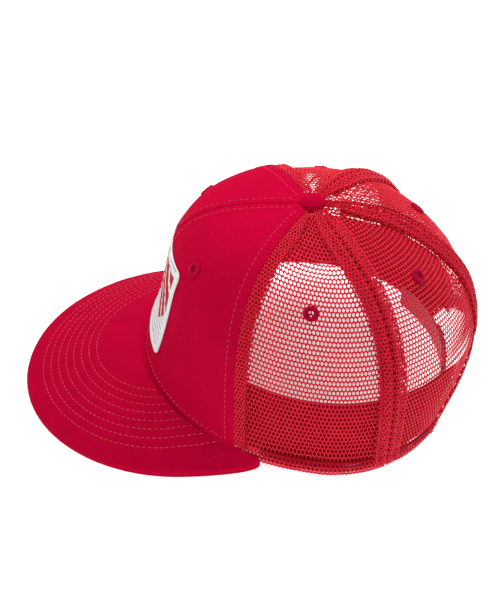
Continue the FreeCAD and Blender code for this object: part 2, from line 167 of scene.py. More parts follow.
def tighten_net():
    """Cloth simulation of the crown: the mesh panels pull tight between their pinned seams.

    The inward and outward movement becomes CROWN.push, which every layer follows."""
    degs = np.arange(-180.0, 180.0, 3.0)
    shares = np.linspace(0.0, 0.985, 44)
    dd, ss = np.meshgrid(degs, shares, indexing="ij")
    along = ss * CROWN.top(dd)
    rest = CROWN.at(dd, along)
    normal = CROWN.look(CROWN.normal, dd, along)
    radius = CROWN.radius(dd, along)
    seams = np.array([-SEAM_REAR, -SEAM_FRONT, SEAM_FRONT, SEAM_REAR, 180.0, -180.0])
    seam_gap = np.abs(rad(dd[..., None] - seams)).min(-1) * radius
    held = (np.abs(dd) < SEAM_FRONT) | (seam_gap < 4.5) | (along < 7.0) | (radius < 13.0)
    held |= (np.abs(dd) > 128) & (along < ARCH_TALL + 12)
    rows, cols = dd.shape
    i, j = np.meshgrid(np.arange(rows), np.arange(cols - 1), indexing="ij")
    a, b = (i * cols + j).ravel(), (((i + 1) % rows) * cols + j).ravel()
    mesh = bpy.data.meshes.new("sim_crown")
    mesh.from_pydata((rest.reshape(-1, 3) * 0.01).tolist(), [], np.stack([a, b, b + 1, a + 1], 1).tolist())
    crown = bpy.data.objects.new("sim_crown", mesh)
    bpy.context.scene.collection.objects.link(crown)
    group = crown.vertex_groups.new(name="held")
    group.add([int(k) for k in np.flatnonzero(held.ravel())], 1.0, "REPLACE")
    cloth = crown.modifiers.new("cloth", "CLOTH")
    cloth.settings.vertex_group_mass = "held"
    cloth.settings.mass = 0.25
    cloth.settings.quality = 6
    cloth.settings.tension_stiffness = 30
    cloth.settings.compression_stiffness = 30
    cloth.settings.shear_stiffness = 8
    cloth.settings.bending_stiffness = 0.6
    cloth.settings.air_damping = 8
    cloth.settings.shrink_min = 0.03
    cloth.collision_settings.use_collision = False
    cloth.point_cache.frame_start = 1
    cloth.point_cache.frame_end = SIM_FRAMES
    for frame_number in range(1, SIM_FRAMES + 1):
        bpy.context.scene.frame_set(frame_number)
    settled = crown.evaluated_get(bpy.context.evaluated_depsgraph_get()).data
    moved = np.empty(len(settled.vertices) * 3)
    settled.vertices.foreach_get("co", moved)
    moved = moved.reshape(rows, cols, 3) / 0.01 - rest
    push = np.clip((moved * normal).sum(-1), -2.4, 1.2)
    bpy.data.objects.remove(crown)
    bpy.data.meshes.remove(mesh)
    bpy.context.scene.frame_set(1)
    pos = ((CROWN.deg + 180.0) % 360.0) / 3.0
    first = pos.astype(int) % rows
    second = (first + 1) % rows
    part = (pos - pos.astype(int))[:, None]
    wide = push[first] * (1 - part) + push[second] * part
    fine = np.linspace(0, 1, CROWN.STEPS + 1)
    CROWN.push = np.array([np.interp(fine, shares, line) for line in wide])
    print("PUSH", round(float(push.min()), 2), round(float(push.max()), 2))


tighten_net()


# ------------------------------------------------------------ materials
def new_material(name):
    mat = bpy.data.materials.new(name)
    mat.use_nodes = True
    nodes = mat.node_tree.nodes
    nodes.clear()
    out = nodes.new("ShaderNodeOutputMaterial")
    shader = nodes.new("ShaderNodeBsdfPrincipled")
    mat.node_tree.links.new(shader.outputs[0], out.inputs[0])
    return mat, mat.node_tree.nodes, mat.node_tree.links, shader


def ramp(nodes, links, source, low, high, low_at=0.0, high_at=1.0):
    node = nodes.new("ShaderNodeValToRGB")
    node.color_ramp.elements[0].position = low_at
    node.color_ramp.elements[0].color = (*low, 1)
    node.color_ramp.elements[1].position = high_at
    node.color_ramp.elements[1].color = (*high, 1)
    links.new(source, node.inputs[0])
    return node.outputs[0]


def noise_tex(nodes, links, vector, scale, detail=3.0, rough=0.6):
    node = nodes.new("ShaderNodeTexNoise")
    node.inputs["Scale"].default_value = scale
    node.inputs["Detail"].default_value = detail
    node.inputs["Roughness"].default_value = rough
    links.new(vector, node.inputs["Vector"])
    return node.outputs[0]


def wave(nodes, links, vector, scale, direction, distortion=0.0, rings=False):
    node = nodes.new("ShaderNodeTexWave")
    node.wave_type = "RINGS" if rings else "BANDS"
    if not rings:
        node.bands_direction = direction
    node.inputs["Scale"].default_value = scale
    node.inputs["Distortion"].default_value = distortion
    node.inputs["Detail"].default_value = 0.0
    links.new(vector, node.inputs["Vector"])
    return node.outputs["Fac"]


def math_node(nodes, links, kind, a, b):
    node = nodes.new("ShaderNodeMath")
    node.operation = kind
    for slot, value in ((0, a), (1, b)):
        if isinstance(value, (int, float)):
            node.inputs[slot].default_value = value
        else:
            links.new(value, node.inputs[slot])
    return node.outputs[0]


def mix_color(nodes, links, fac, a, b, kind="MIX"):
    node = nodes.new("ShaderNodeMix")
    node.data_type = "RGBA"
    node.blend_type = kind
    if isinstance(fac, (int, float)):
        node.inputs[0].default_value = fac
    else:
        links.new(fac, node.inputs[0])
    for slot, value in ((6, a), (7, b)):
        if isinstance(value, tuple):
            node.inputs[slot].default_value = (*value, 1)
        else:
            links.new(value, node.inputs[slot])
    return node.outputs[2]


def add_bump(nodes, links, shader, height, strength, distance, previous=None):
    node = nodes.new("ShaderNodeBump")
    node.inputs["Strength"].default_value = strength
    node.inputs["Distance"].default_value = distance
    links.new(height, node.inputs["Height"])
    if previous is not None:
        links.new(previous, node.inputs["Normal"])
    links.new(node.outputs[0], shader.inputs["Normal"])
    return node.outputs[0]


def cloth_material(name, color, yarns_per_mm=1.7, weave="twill", rough=0.95, sheen=0.05, mottle=0.04, lines_share=0.16):
    """Woven cloth: diagonal twill or plain weave from the UV map, whose unit is 10 mm."""
    mat, nodes, links, shader = new_material(name)
    uv = nodes.new("ShaderNodeTexCoord").outputs["UV"]
    obj = nodes.new("ShaderNodeTexCoord").outputs["Object"]
    per_unit = yarns_per_mm * 10 / 2 / 3.1416 * 3.1416
    if weave == "twill":
        lines = wave(nodes, links, uv, per_unit * 0.318, "DIAGONAL", 0.4)
        cross = wave(nodes, links, uv, per_unit * 0.45, "X", 0.3)
        pattern = math_node(nodes, links, "MULTIPLY", lines, math_node(nodes, links, "ADD", cross, 0.6))
    else:
        across = wave(nodes, links, uv, per_unit * 0.318, "X", 0.2)
        along = wave(nodes, links, uv, per_unit * 0.318, "Y", 0.2)
        pattern = math_node(nodes, links, "MAXIMUM", across, along)
    fuzz = noise_tex(nodes, links, obj, 2600.0, 2.0)
    cloud = noise_tex(nodes, links, obj, 55.0, 4.0)
    dark = tuple(c * (1 - 2.2 * mottle) for c in color)
    light = tuple(min(1.0, c * (1 + mottle)) for c in color)
    base = ramp(nodes, links, cloud, dark, light, 0.3, 0.72)
    yarn = mix_color(nodes, links, lines_share, base, ramp(nodes, links, pattern, (0.55, 0.5, 0.5), (1, 1, 1), 0.1, 0.8), "MULTIPLY")
    specks = ramp(nodes, links, noise_tex(nodes, links, obj, 520.0, 3.0, 0.75), (0, 0, 0), (1, 1, 1), 0.70, 0.78)
    lint = mix_color(nodes, links, math_node(nodes, links, "MULTIPLY", specks, 0.30), yarn,
                     tuple(min(1, c + 0.25) for c in color))
    links.new(lint, shader.inputs["Base Color"])
    shader.inputs["Roughness"].default_value = rough
    shader.inputs["Specular IOR Level"].default_value = 0.02
    shader.inputs["Sheen Weight"].default_value = sheen
    shader.inputs["Sheen Roughness"].default_value = 0.4
    shader.inputs["Sheen Tint"].default_value = (*tuple(min(1, c * 1.5) for c in color), 1)
    first = add_bump(nodes, links, shader, pattern, 0.55, 0.00012)
    add_bump(nodes, links, shader, fuzz, 0.25, 0.00008, first)
    return mat


def yarn_material(name, color, highlight, twist=1.6, rough=0.42):
    """Shiny polyester or cotton yarn with a fine twist; fine specks of the highlight colour in the base colour are a
    painted highlight.
    """
    mat, nodes, links, shader = new_material(name)
    obj = nodes.new("ShaderNodeTexCoord").outputs["Object"]
    fibres = noise_tex(nodes, links, obj, 2200.0, 3.0, 0.7)
    cloud = noise_tex(nodes, links, obj, 140.0, 3.0)
    base = ramp(nodes, links, cloud, tuple(c * 0.86 for c in color), color, 0.3, 0.7)
    # fibre noise mixes the highlight colour into the base colour: painted highlight specks on the yarn
    painted_highlight_specks = mix_color(nodes, links, ramp(nodes, links, fibres, (0, 0, 0), (0.55, 0.55, 0.55), 0.5, 0.8), base, highlight)
    links.new(painted_highlight_specks, shader.inputs["Base Color"])
    shader.inputs["Roughness"].default_value = rough
    shader.inputs["Specular IOR Level"].default_value = 0.16
    shader.inputs["Specular Tint"].default_value = (*highlight, 1)
    add_bump(nodes, links, shader, fibres, 0.5, 0.0001)
    return mat


def plastic_material(name, color, rough=0.38):
    mat, nodes, links, shader = new_material(name)
    obj = nodes.new("ShaderNodeTexCoord").outputs["Object"]
    grain = noise_tex(nodes, links, obj, 1500.0, 2.0)
    flow = noise_tex(nodes, links, obj, 60.0, 3.0)
    base = ramp(nodes, links, flow, tuple(c * 0.88 for c in color), color, 0.3, 0.7)
    links.new(base, shader.inputs["Base Color"])
    spread = nodes.new("ShaderNodeMapRange")
    links.new(flow, spread.inputs["Value"])
    spread.inputs["To Min"].default_value = rough - 0.08
    spread.inputs["To Max"].default_value = rough + 0.12
    links.new(spread.outputs[0], shader.inputs["Roughness"])
    shader.inputs["Subsurface Weight"].default_value = 0.08
    shader.inputs["Subsurface Radius"].default_value = (0.002, 0.0006, 0.0004)
    add_bump(nodes, links, shader, grain, 0.12, 0.00008)
    return mat


def metal_material(name, color, rough=0.32):
    mat, nodes, links, shader = new_material(name)
    obj = nodes.new("ShaderNodeTexCoord").outputs["Object"]
    grain = noise_tex(nodes, links, obj, 900.0, 3.0)
    links.new(ramp(nodes, links, grain, tuple(c * 0.85 for c in color), color, 0.3, 0.7), shader.inputs["Base Color"])
    shader.inputs["Metallic"].default_value = 1.0
    shader.inputs["Roughness"].default_value = rough
    add_bump(nodes, links, shader, grain, 0.15, 0.00008)
    return mat


RED = (0.56, 0.0008, 0.036)
TWILL = cloth_material("twill_red", RED)
# the peak's underside uses the twill red made darker: painted shade under the peak
UNDER_SHADED = cloth_material("twill_under_shaded", (0.50, 0.0008, 0.032))
NET = yarn_material("net_yarn", (0.82, 0.012, 0.040), (1.0, 0.16, 0.19))
NET_DARK = yarn_material("net_band_yarn", (0.76, 0.010, 0.038), (1.0, 0.13, 0.16))
NET_HEM = yarn_material("net_hem_yarn", (0.60, 0.006, 0.030), (0.85, 0.09, 0.12), rough=0.55)
THREAD = yarn_material("stitch_thread", (0.74, 0.050, 0.085), (0.95, 0.18, 0.20), rough=0.6)
RING = yarn_material("eyelet_thread", (0.49, 0.001, 0.035), (0.66, 0.01, 0.06), rough=0.6)
TAPE = cloth_material("tape_cotton", (0.52, 0.003, 0.030), 2.2, "plain")
SWEAT = cloth_material("sweatband_cotton", (0.46, 0.0015, 0.028), 1.9, "twill")
BUCKRAM = cloth_material("buckram_weave", (0.34, 0.002, 0.022), 0.8, "plain", 0.9, 0.0, 0.06, 0.4)
FOAM = cloth_material("padding_felt", (0.70, 0.66, 0.60), 0.6, "plain", 0.95, 0.0, 0.06, 0.3)
BOARD = plastic_material("board_sheet", (0.75, 0.74, 0.70), 0.5)
STRAP = plastic_material("strap_plastic", (0.42, 0.002, 0.024), 0.42)
METAL = metal_material("pressed_metal", (0.72, 0.72, 0.74))


def patch_material():
    """Embroidered white patch: a plain red field above a wavy edge, white ripples below."""
    mat, nodes, links, shader = new_material("patch_embroidery")
    uv = nodes.new("ShaderNodeTexCoord").outputs["UV"]
    split = nodes.new("ShaderNodeSeparateXYZ")
    links.new(uv, split.inputs[0])
    across, high = split.outputs[0], split.outputs[1]
    swell = math_node(nodes, links, "MULTIPLY", math_node(nodes, links, "SINE", math_node(nodes, links, "MULTIPLY", across, 2.6), 0), 0.45)
    field = math_node(nodes, links, "GREATER_THAN", math_node(nodes, links, "SUBTRACT", high, swell), -0.7)
    side = math_node(nodes, links, "LESS_THAN", math_node(nodes, links, "ABSOLUTE", across, 0), 2.86)
    top = math_node(nodes, links, "LESS_THAN", high, 2.25)
    inside = math_node(nodes, links, "MULTIPLY", field, math_node(nodes, links, "MULTIPLY", side, top))
    warp = wave(nodes, links, uv, 0.55, "DIAGONAL", 3.0)
    streak = math_node(nodes, links, "LESS_THAN", warp, 0.80)
    red_part = math_node(nodes, links, "MULTIPLY", inside, streak)
    threads = wave(nodes, links, uv, 6.0, "X", 0.6)
    white = ramp(nodes, links, threads, (0.84, 0.84, 0.85), (0.98, 0.98, 0.98), 0.1, 0.8)
    ripple = wave(nodes, links, uv, 0.9, "Y", 5.0)
    grey_line = math_node(nodes, links, "MULTIPLY", math_node(nodes, links, "GREATER_THAN", ripple, 0.93), side)
    white = mix_color(nodes, links, grey_line, white, (0.32, 0.33, 0.36))
    red = ramp(nodes, links, threads, (0.42, 0.004, 0.012), (0.62, 0.008, 0.02), 0.1, 0.8)
    links.new(mix_color(nodes, links, red_part, white, red), shader.inputs["Base Color"])
    shader.inputs["Roughness"].default_value = 0.75
    shader.inputs["Specular IOR Level"].default_value = 0.1
    add_bump(nodes, links, shader, threads, 0.6, 0.0002)
    return mat


PATCH = patch_material()


# ------------------------------------------------------------ mesh building
def make_object(name, verts, faces, material, uv=None, smooth=True):
    """Object from millimetre vertices; uv is one pair per vertex, in millimetres."""
    mesh = bpy.data.meshes.new(name)
    mesh.from_pydata((np.asarray(verts) * MM).tolist(), [], [tuple(int(i) for i in f) for f in faces])
    mesh.validate()
    if uv is not None:
        layer = mesh.uv_layers.new(name="mm")
        loops = np.empty(len(mesh.loops), dtype=np.int32)
        mesh.loops.foreach_get("vertex_index", loops)
        layer.data.foreach_set("uv", (np.asarray(uv)[loops] / 10.0).astype(np.float32).ravel())
    if smooth:
        mesh.polygons.foreach_set("use_smooth", np.ones(len(mesh.polygons), dtype=bool))
    mesh.materials.append(material)
    obj = bpy.data.objects.new(name, mesh)
    bpy.context.scene.collection.objects.link(obj)
    return obj


def grid_faces(rows, cols, start=0, flip=False):
    i, j = np.meshgrid(np.arange(rows - 1), np.arange(cols - 1), indexing="ij")
    a = start + (i * cols + j).ravel()
    quads = np.stack([a, a + cols, a + cols + 1, a + 1], 1)
    return quads[:, ::-1] if flip else quads


def border(rows, cols):
    """Indices of a grid's border in order."""
    top = [j for j in range(cols)]
    right = [i * cols + cols - 1 for i in range(1, rows)]
    bottom = [(rows - 1) * cols + j for j in range(cols - 2, -1, -1)]
    left = [i * cols for i in range(rows - 2, 0, -1)]
    return np.array(top + right + bottom + left)


def sheet(name, outer, inner, material, uv):
    """Closed thin cloth from two matching grids; their borders meet in a rounded edge."""
    rows, cols = outer.shape[:2]
    ring = border(rows, cols)
    flat_out = outer.reshape(-1, 3).copy()
    flat_in = inner.reshape(-1, 3).copy()
    middle = (flat_out[ring] + flat_in[ring]) / 2
    flat_out[ring] = middle * 0.45 + flat_out[ring] * 0.55
    flat_in[ring] = middle * 0.45 + flat_in[ring] * 0.55
    count = rows * cols
    faces = [grid_faces(rows, cols), grid_faces(rows, cols, count, True)]
    nxt = np.roll(ring, -1)
    faces.append(np.stack([ring, nxt, nxt + count, ring + count], 1))
    verts = np.vstack([flat_out, flat_in])
    coords = np.vstack([uv.reshape(-1, 2)] * 2)
    obj = make_object(name, verts, np.vstack(faces), material, coords)
    fix_normals(obj)
    return obj


def fix_normals(obj):
    import bmesh
    bm = bmesh.new()
    bm.from_mesh(obj.data)
    bmesh.ops.recalc_face_normals(bm, faces=bm.faces)
    bm.to_mesh(obj.data)
    bm.free()


def crown_sheet(name, deg, along, out, inn, material):
    """Sheet on the crown from matching grids of bearing and length; out may be a grid."""
    outer = CROWN.at(deg, along, out)
    inner = CROWN.at(deg, along, inn)
    centre = np.mean(deg)
    uv = np.stack([rad(deg - centre) * CROWN.radius(deg, along), along], -1)
    return sheet(name, outer, inner, material, uv)


def uneven(low, high, count, fine):
    """Steps from low to high with closer spacing at both ends."""
    t = np.linspace(-1, 1, count)
    t = (1 - fine) * t + fine * np.sin(t * np.pi / 2)
    return low + (high - low) * (t + 1) / 2


def place(obj, body, node=None):
    """Put a piece on a body; a piece on body "front" is crown cloth left unattached, with its transform baked."""
    if body == "front":
        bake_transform(obj)
    else:
        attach(obj, body)
    if node:
        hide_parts(*([node] if isinstance(node, str) else node))


# ------------------------------------------------------------ stitches
def stitch_row(path, normals, length=2.5, gap=0.9, radius=0.24, start=0.5, lift=0.10):
    """Vertices and faces of thread dashes along a path of points with normals."""
    run = np.r_[0, np.cumsum(np.linalg.norm(np.diff(path, axis=0), axis=1))]
    verts, faces = [], []
    ring = 6
    profile = [(0.0, 0.35, -0.16), (0.16, 0.9, 0.02), (0.5, 1.0, 0.12), (0.84, 0.9, 0.02), (1.0, 0.35, -0.16)]
    pos = start
    while pos + length < run[-1]:
        stretch = 1 + 0.10 * math.sin(pos * 12.9898)
        for index, (share, wide, rise) in enumerate(profile):
            s = pos + share * length * stretch
            centre = np.array([np.interp(s, run, path[:, k]) for k in range(3)])
            ahead = np.array([np.interp(s + 0.4, run, path[:, k]) for k in range(3)])
            behind = np.array([np.interp(s - 0.4, run, path[:, k]) for k in range(3)])
            n = np.array([np.interp(s, run, normals[:, k]) for k in range(3)])
            n /= np.linalg.norm(n)
            t = ahead - behind
            t /= max(np.linalg.norm(t), 1e-9)
            b = np.cross(n, t)
            mid = centre + n * (lift + rise)
            for k in range(ring):
                a = 2 * math.pi * k / ring
                verts.append(mid + (b * math.cos(a) * 1.25 + n * math.sin(a)) * radius * wide)
            if index:
                base = len(verts) - 2 * ring
                for k in range(ring):
                    m = (k + 1) % ring
                    faces.append((base + k, base + m, base + ring + m, base + ring + k))
        first = len(verts) - ring * len(profile)
        faces.append(tuple(first + k for k in range(ring))[::-1])
        faces.append(tuple(len(verts) - ring + k for k in range(ring)))
        pos += length + gap
    return verts, faces


def stitches(name, rows, body, slot="thread", **options):
    """One object holding several rows of thread dashes."""
    verts, faces = [], []
    for path, normals in rows:
        more_verts, more_faces = stitch_row(np.asarray(path), np.asarray(normals), **options)
        shift = len(verts)
        verts += more_verts
        faces += [tuple(i + shift for i in f) for f in more_faces]
    obj = make_object(name, np.array(verts), faces, THREAD)
    place(obj, body)
    return obj


def crown_path(deg, along, out):
    return CROWN.at(deg, along, out), CROWN.look(CROWN.normal, deg, along)


# ------------------------------------------------------------ knitted net
PITCH_X, PITCH_Y = 2.17, 2.73
CELL = [(0, 0.593 * PITCH_Y), (PITCH_X / 2, 0.407 * PITCH_Y), (PITCH_X / 2, -0.407 * PITCH_Y), (0, -0.593 * PITCH_Y),
        (-PITCH_X / 2, -0.407 * PITCH_Y), (-PITCH_X / 2, 0.407 * PITCH_Y)]


def net(name, centres, mapping, material, hole=(0.74, 1.02), half=0.34, body="crown", node=None,
        scale=1.0, shrink=None):
    """Yarn net: one ring of faces round each hole, lens-shaped yarns, closed at its border.

    centres are hole centres in flat millimetres; mapping(points, lift) gives 3-D points."""
    corners = np.array(CELL) * scale
    outer = np.empty((12, 2))
    outer[0::2] = corners
    outer[1::2] = (corners + np.roll(corners, -1, axis=0)) / 2
    angle = np.arctan2(outer[:, 1] / 1.25, outer[:, 0])
    inner = np.stack([np.cos(angle) * hole[0], np.sin(angle) * hole[1]], 1)
    count = len(centres)
    size = np.ones(count) if shrink is None else shrink
    holes = inner[None] * size[:, None, None]
    middles = outer[None] * 0.52 + holes * 0.48
    cell = np.concatenate([np.repeat(outer[None], count, 0), middles, holes], 1) + np.asarray(centres)[:, None]
    flat = cell.reshape(-1, 2)
    zig = np.tile(np.concatenate([np.array([1.25, 1.15, 1.0, 0.85, 1.0, 1.15] * 2),
                                  np.full(12, 0.78), np.zeros(12)]), count)
    key = np.round(flat * 41.37).astype(np.int64)
    key = key[:, 0] * 4000003 + key[:, 1]
    _, first, back = np.unique(key, return_index=True, return_inverse=True)
    flat, zig = flat[first], zig[first]
    base = (np.arange(count) * 36)[:, None]
    k = np.arange(12)
    m = (k + 1) % 12
    quads = []
    for level in (0, 12):
        quads.append(np.stack([base + level + k, base + level + m, base + level + 12 + m, base + level + 12 + k], -1).reshape(-1, 4))
    quads = back[np.concatenate(quads)]
    rim = zig <= 0
    total = len(flat)
    low_index = np.arange(total) + total
    low_index[rim] = np.arange(total)[rim]
    edges = np.concatenate([quads[:, [0, 1]], quads[:, [1, 2]], quads[:, [2, 3]], quads[:, [3, 0]]])
    order = np.sort(edges, axis=1)
    _, where, times = np.unique(order[:, 0] * (total + 1) + order[:, 1], return_index=True, return_counts=True)
    lone = edges[where[times == 1]]
    lone = lone[~(rim[lone[:, 0]] & rim[lone[:, 1]])]
    walls = np.stack([lone[:, 1], lone[:, 0], low_index[lone[:, 0]], low_index[lone[:, 1]]], 1)
    faces = np.concatenate([quads, low_index[quads][:, ::-1], walls])
    top = mapping(flat, zig * half)
    low = mapping(flat, -zig * half)
    verts = np.concatenate([top, low])
    used = np.unique(faces)
    renumber = np.full(len(verts), -1)
    renumber[used] = np.arange(len(used))
    coords = np.concatenate([flat, flat])[used]
    obj = make_object(name, verts[used], renumber[faces], material, coords)
    place(obj, body, node)
    return obj


def lattice(low_x, high_x, low_y, high_y, scale=1.0):
    """Staggered hole centres."""
    points = []
    row = 0
    y = low_y
    pitch = PITCH_X * scale
    while y <= high_y:
        shift = pitch / 2 if row % 2 else 0.0
        first = math.ceil((low_x - shift) / pitch)
        last = math.floor((high_x - shift) / pitch)
        points += [(i * pitch + shift, y) for i in range(first, last + 1)]
        y += PITCH_Y * scale
        row += 1
    return np.array(points)


def panel_net(name, from_deg, to_deg, node, keep=None, seed=1, body="crown"):
    """Net for one crown panel, its rows level with the rim at the panel's middle."""
    degs = np.linspace(from_deg, to_deg, 41)
    alongs = np.linspace(0, 180, 91)
    dd, aa = np.meshgrid(degs, alongs, indexing="ij")
    pts = CROWN.look(CROWN.points, dd, np.minimum(aa, CROWN.top(dd)))
    step = np.linalg.norm(np.diff(pts, axis=0), axis=-1)
    run = np.vstack([np.zeros(len(alongs)), np.cumsum(step, axis=0)])
    run -= run[len(degs) // 2]

    def to_deg_of(u, v):
        v_pos = np.clip(v / 180 * 90, 0, 89.999)
        j = v_pos.astype(int)
        f = v_pos - j
        result = np.empty(len(u))
        for jj in np.unique(j):
            m = j == jj
            line = run[:, jj][:, None] * (1 - f[m])[None] + run[:, jj + 1][:, None] * f[m][None]
            uu = u[m]
            pos = (line < uu[None]).sum(0)
            pos = np.clip(pos, 1, len(degs) - 1)
            cols = np.arange(len(uu))
            a, b = line[pos - 1, cols], line[pos, cols]
            share = (uu - a) / np.maximum(b - a, 1e-6)
            result[m] = degs[pos - 1] + (degs[pos] - degs[pos - 1]) * share
        return result

    centres = lattice(-75, 75, 1.2 - PITCH_Y, 178)
    turned = to_deg_of(centres[:, 0], centres[:, 1])
    inside = (turned > min(from_deg, to_deg)) & (turned < max(from_deg, to_deg))
    inside &= centres[:, 1] < CROWN.top(turned) - 6.8
    centres, turned = centres[inside], turned[inside]
    if keep is not None:
        good = keep(CROWN.at(turned, centres[:, 1]))
        centres = centres[good]

    def mapping(points, lift):
        d = to_deg_of(points[:, 0], points[:, 1])
        d = np.clip(d, min(from_deg, to_deg) - 0.6, max(from_deg, to_deg) + 0.6)
        here = CROWN.look(CROWN.points, d, points[:, 1])
        wobble = 0.25 * soft_noise(here, 9.0, seed) + 0.35 * soft_noise(here, 31.0, seed + 5)
        return CROWN.at(d, points[:, 1], lift - 0.4 + wobble)

    shrink = np.clip((centres[:, 1] - 4.5) / 2.0, 0, 1)
    if keep is not None:
        at = CROWN.at(to_deg_of(centres[:, 0], centres[:, 1]), centres[:, 1])
        beyond = np.hypot(at[:, 0] / ARCH_HALF, np.maximum(at[:, 2], 0) / ARCH_TALL) - 1
        shrink = np.minimum(shrink, np.clip(beyond * 40 / 2.0 - 2.5, 0, 1))
    shrink = 0.32 + 0.68 * shrink
    return net(name, centres, mapping, NET, hole=(0.79, 1.03), half=0.33, node=node, body=body, shrink=shrink)


def outside_arch(points):
    x, z = points[:, 0], points[:, 2]
    return (x / (ARCH_HALF + 0.8)) ** 2 + (np.maximum(z, 0) / (ARCH_TALL + 0.8)) ** 2 > 1


# ------------------------------------------------------------ front panels
def ridge(distance, centre, width):
    return np.exp(-((distance - centre) / width) ** 2)


def plateau(distance, width, soft=0.7):
    return 1 / (1 + np.exp((distance - width) / (soft * 0.5)))


def front_panel(side, sign):
    cols, rows = 84, 110
    share = uneven(0.0, 1.0, cols, 0.35)
    deg_row = sign * share * (SEAM_FRONT + 0.8)
    along_share = uneven(0.0, 1.0, rows, 0.25)
    deg, part = np.meshgrid(deg_row, along_share, indexing="ij")
    along = -1.7 + (CROWN.top(deg) - 4.3) * part
    radius = CROWN.radius(deg, along)
    from_centre = rad(np.abs(deg)) * radius
    from_side = rad(SEAM_FRONT + 0.8 - np.abs(deg)) * radius
    out = 0.5 + 0.30 * plateau(from_centre, 6.6) + 0.32 * plateau(from_side, 7.4)
    out = out - 0.55 * ridge(from_centre, 0, 0.7) - 0.22 * ridge(from_centre, 4.2, 0.6)
    out = out - 0.22 * ridge(from_side, 5.8, 0.6) - 0.25 * ridge(from_side, 0, 0.5)
    out = out + 0.55 * ridge(along, 1.3, 1.2) - 0.22 * ridge(along, 3.2, 0.6)
    place_here = CROWN.look(CROWN.points, deg, along)
    out = out + 0.22 * soft_noise(place_here, 26.0, 21) + 0.07 * soft_noise(place_here, 8.0, 22)
    obj = crown_sheet("front_panel_" + side, deg, along, out, np.minimum(out - 0.9, -0.35), TWILL)
    return obj


def full_length(deg, low, high_clear, count):
    return np.linspace(low, float(CROWN.top(deg)) - high_clear, count)


# ------------------------------------------------------------ build the crown
for side, sign in (("left", 1), ("right", -1)):
    panel = front_panel(side, sign)
    place(panel, "front", "front_panel_" + side)
    panel_net("mesh_side_" + side, sign * (SEAM_FRONT + 0.1), sign * (SEAM_REAR - 0.1), "mesh_side_" + side, seed=31, body="front")
    panel_net("mesh_rear_" + side, sign * (SEAM_REAR + 0.1), sign * 179.9, "mesh_rear_" + side, outside_arch, seed=37)

    deg, part = np.meshgrid(sign * np.linspace(0.4, SEAM_FRONT - 0.8, 40), np.linspace(0, 1, 60), indexing="ij")
    backing = crown_sheet("front_backing_" + side, deg, 2.0 + (CROWN.top(deg) - 24) * part, -1.1, -1.5, BUCKRAM)
    place(backing, "front", "front_backing_" + side)


def tape(name, seam_deg, low, node, half=6.0, depth=-1.95, body="crown"):
    along = np.linspace(low, float(CROWN.top(seam_deg)) - 15, 90)
    across = np.linspace(-half, half, 15)
    aa, ss = np.meshgrid(along, across, indexing="ij")
    deg = seam_deg + np.degrees(ss / CROWN.radius(np.full(aa.shape, seam_deg), aa))
    out = depth + 0.12 * np.cos(ss / half * np.pi) + 0.05 * np.sin(aa * 1.3)
    outer = CROWN.at(deg, aa, out)
    inner = CROWN.at(deg, aa, out - 0.45)
    obj = sheet(name, outer, inner, TAPE, np.stack([ss, aa], -1))
    place(obj, body, node)


tape("tape_front_centre", 0.0, 3.0, "tape_front_centre", body="front")
for side, sign in (("left", 1), ("right", -1)):
    tape("tape_front_" + side, sign * SEAM_FRONT, 3.0, "tape_front_" + side, body="front")
    tape("tape_rear_" + side, sign * SEAM_REAR, 3.0, "tape_rear_" + side)
tape("tape_rear_centre", 180.0, ARCH_TALL + 8, "tape_rear_centre")


BAND_SCALE = 0.76


def seam_band(name, seam_deg, low, low_s, high_s, profile, top_clear=5.8, hole=(0.34, 0.48), body="crown"):
    """Folded net edge on a seam: cells run along the seam, raised by profile(distance)."""
    top = float(CROWN.top(seam_deg)) - top_clear
    centres = lattice(low_s, high_s, low, top, BAND_SCALE)
    centres = centres[np.abs(centres[:, 0]) > 0.6] if low_s * high_s < 0 else centres

    def mapping(points, lift):
        s, v = points[:, 0], points[:, 1]
        radius = np.maximum(CROWN.radius(np.full(len(v), seam_deg), v), 6.0)
        pinch = np.clip((radius + 4) / 30.0, 0.2, 1.0)
        deg = seam_deg + np.degrees(s * pinch / radius)
        here = CROWN.look(CROWN.points, deg, v)
        rough = 0.16 * soft_noise(here, 7.0, 51) + 0.18 * soft_noise(here, 17.0, 52)
        return CROWN.at(deg, v, lift + profile(s) + rough)

    return net(name, centres, mapping, NET_DARK, hole=hole, half=0.32, body=body, scale=BAND_SCALE)


def both_sides(s):
    a = np.abs(s)
    return 0.65 + 1.0 * ridge(a, 2.2, 1.0) + 0.9 * ridge(a, 6.9, 0.9) - 0.45 * ridge(a, 4.6, 0.8)


def beside_twill(s):
    a = np.abs(s)
    return 0.45 + 0.9 * ridge(a, 6.9, 0.9) - 0.35 * ridge(a, 4.4, 0.9) - 0.5 * ridge(a, 0.3, 0.7)


for side, sign in (("left", 1), ("right", -1)):
    low_s, high_s = (0.6, 7.8) if sign > 0 else (-7.8, -0.6)
    seam_band("seam_band_front_" + side, sign * SEAM_FRONT, 2.0, low_s, high_s, beside_twill,
              hole=(0.42, 0.58), body="front")
    seam_band("seam_band_rear_" + side, sign * SEAM_REAR, 2.0, -7.8, 7.8, both_sides)
seam_band("seam_band_rear_centre", 180.0, ARCH_TALL + 3, -7.8, 7.8, both_sides)


# rim hem: the net rolled round the lower edge
hem_scan = np.linspace(120, 175, 800)
HEM_END = float(hem_scan[CROWN.look(CROWN.points, hem_scan, 2.0)[:, 0] > ARCH_HALF + 0.4].max())


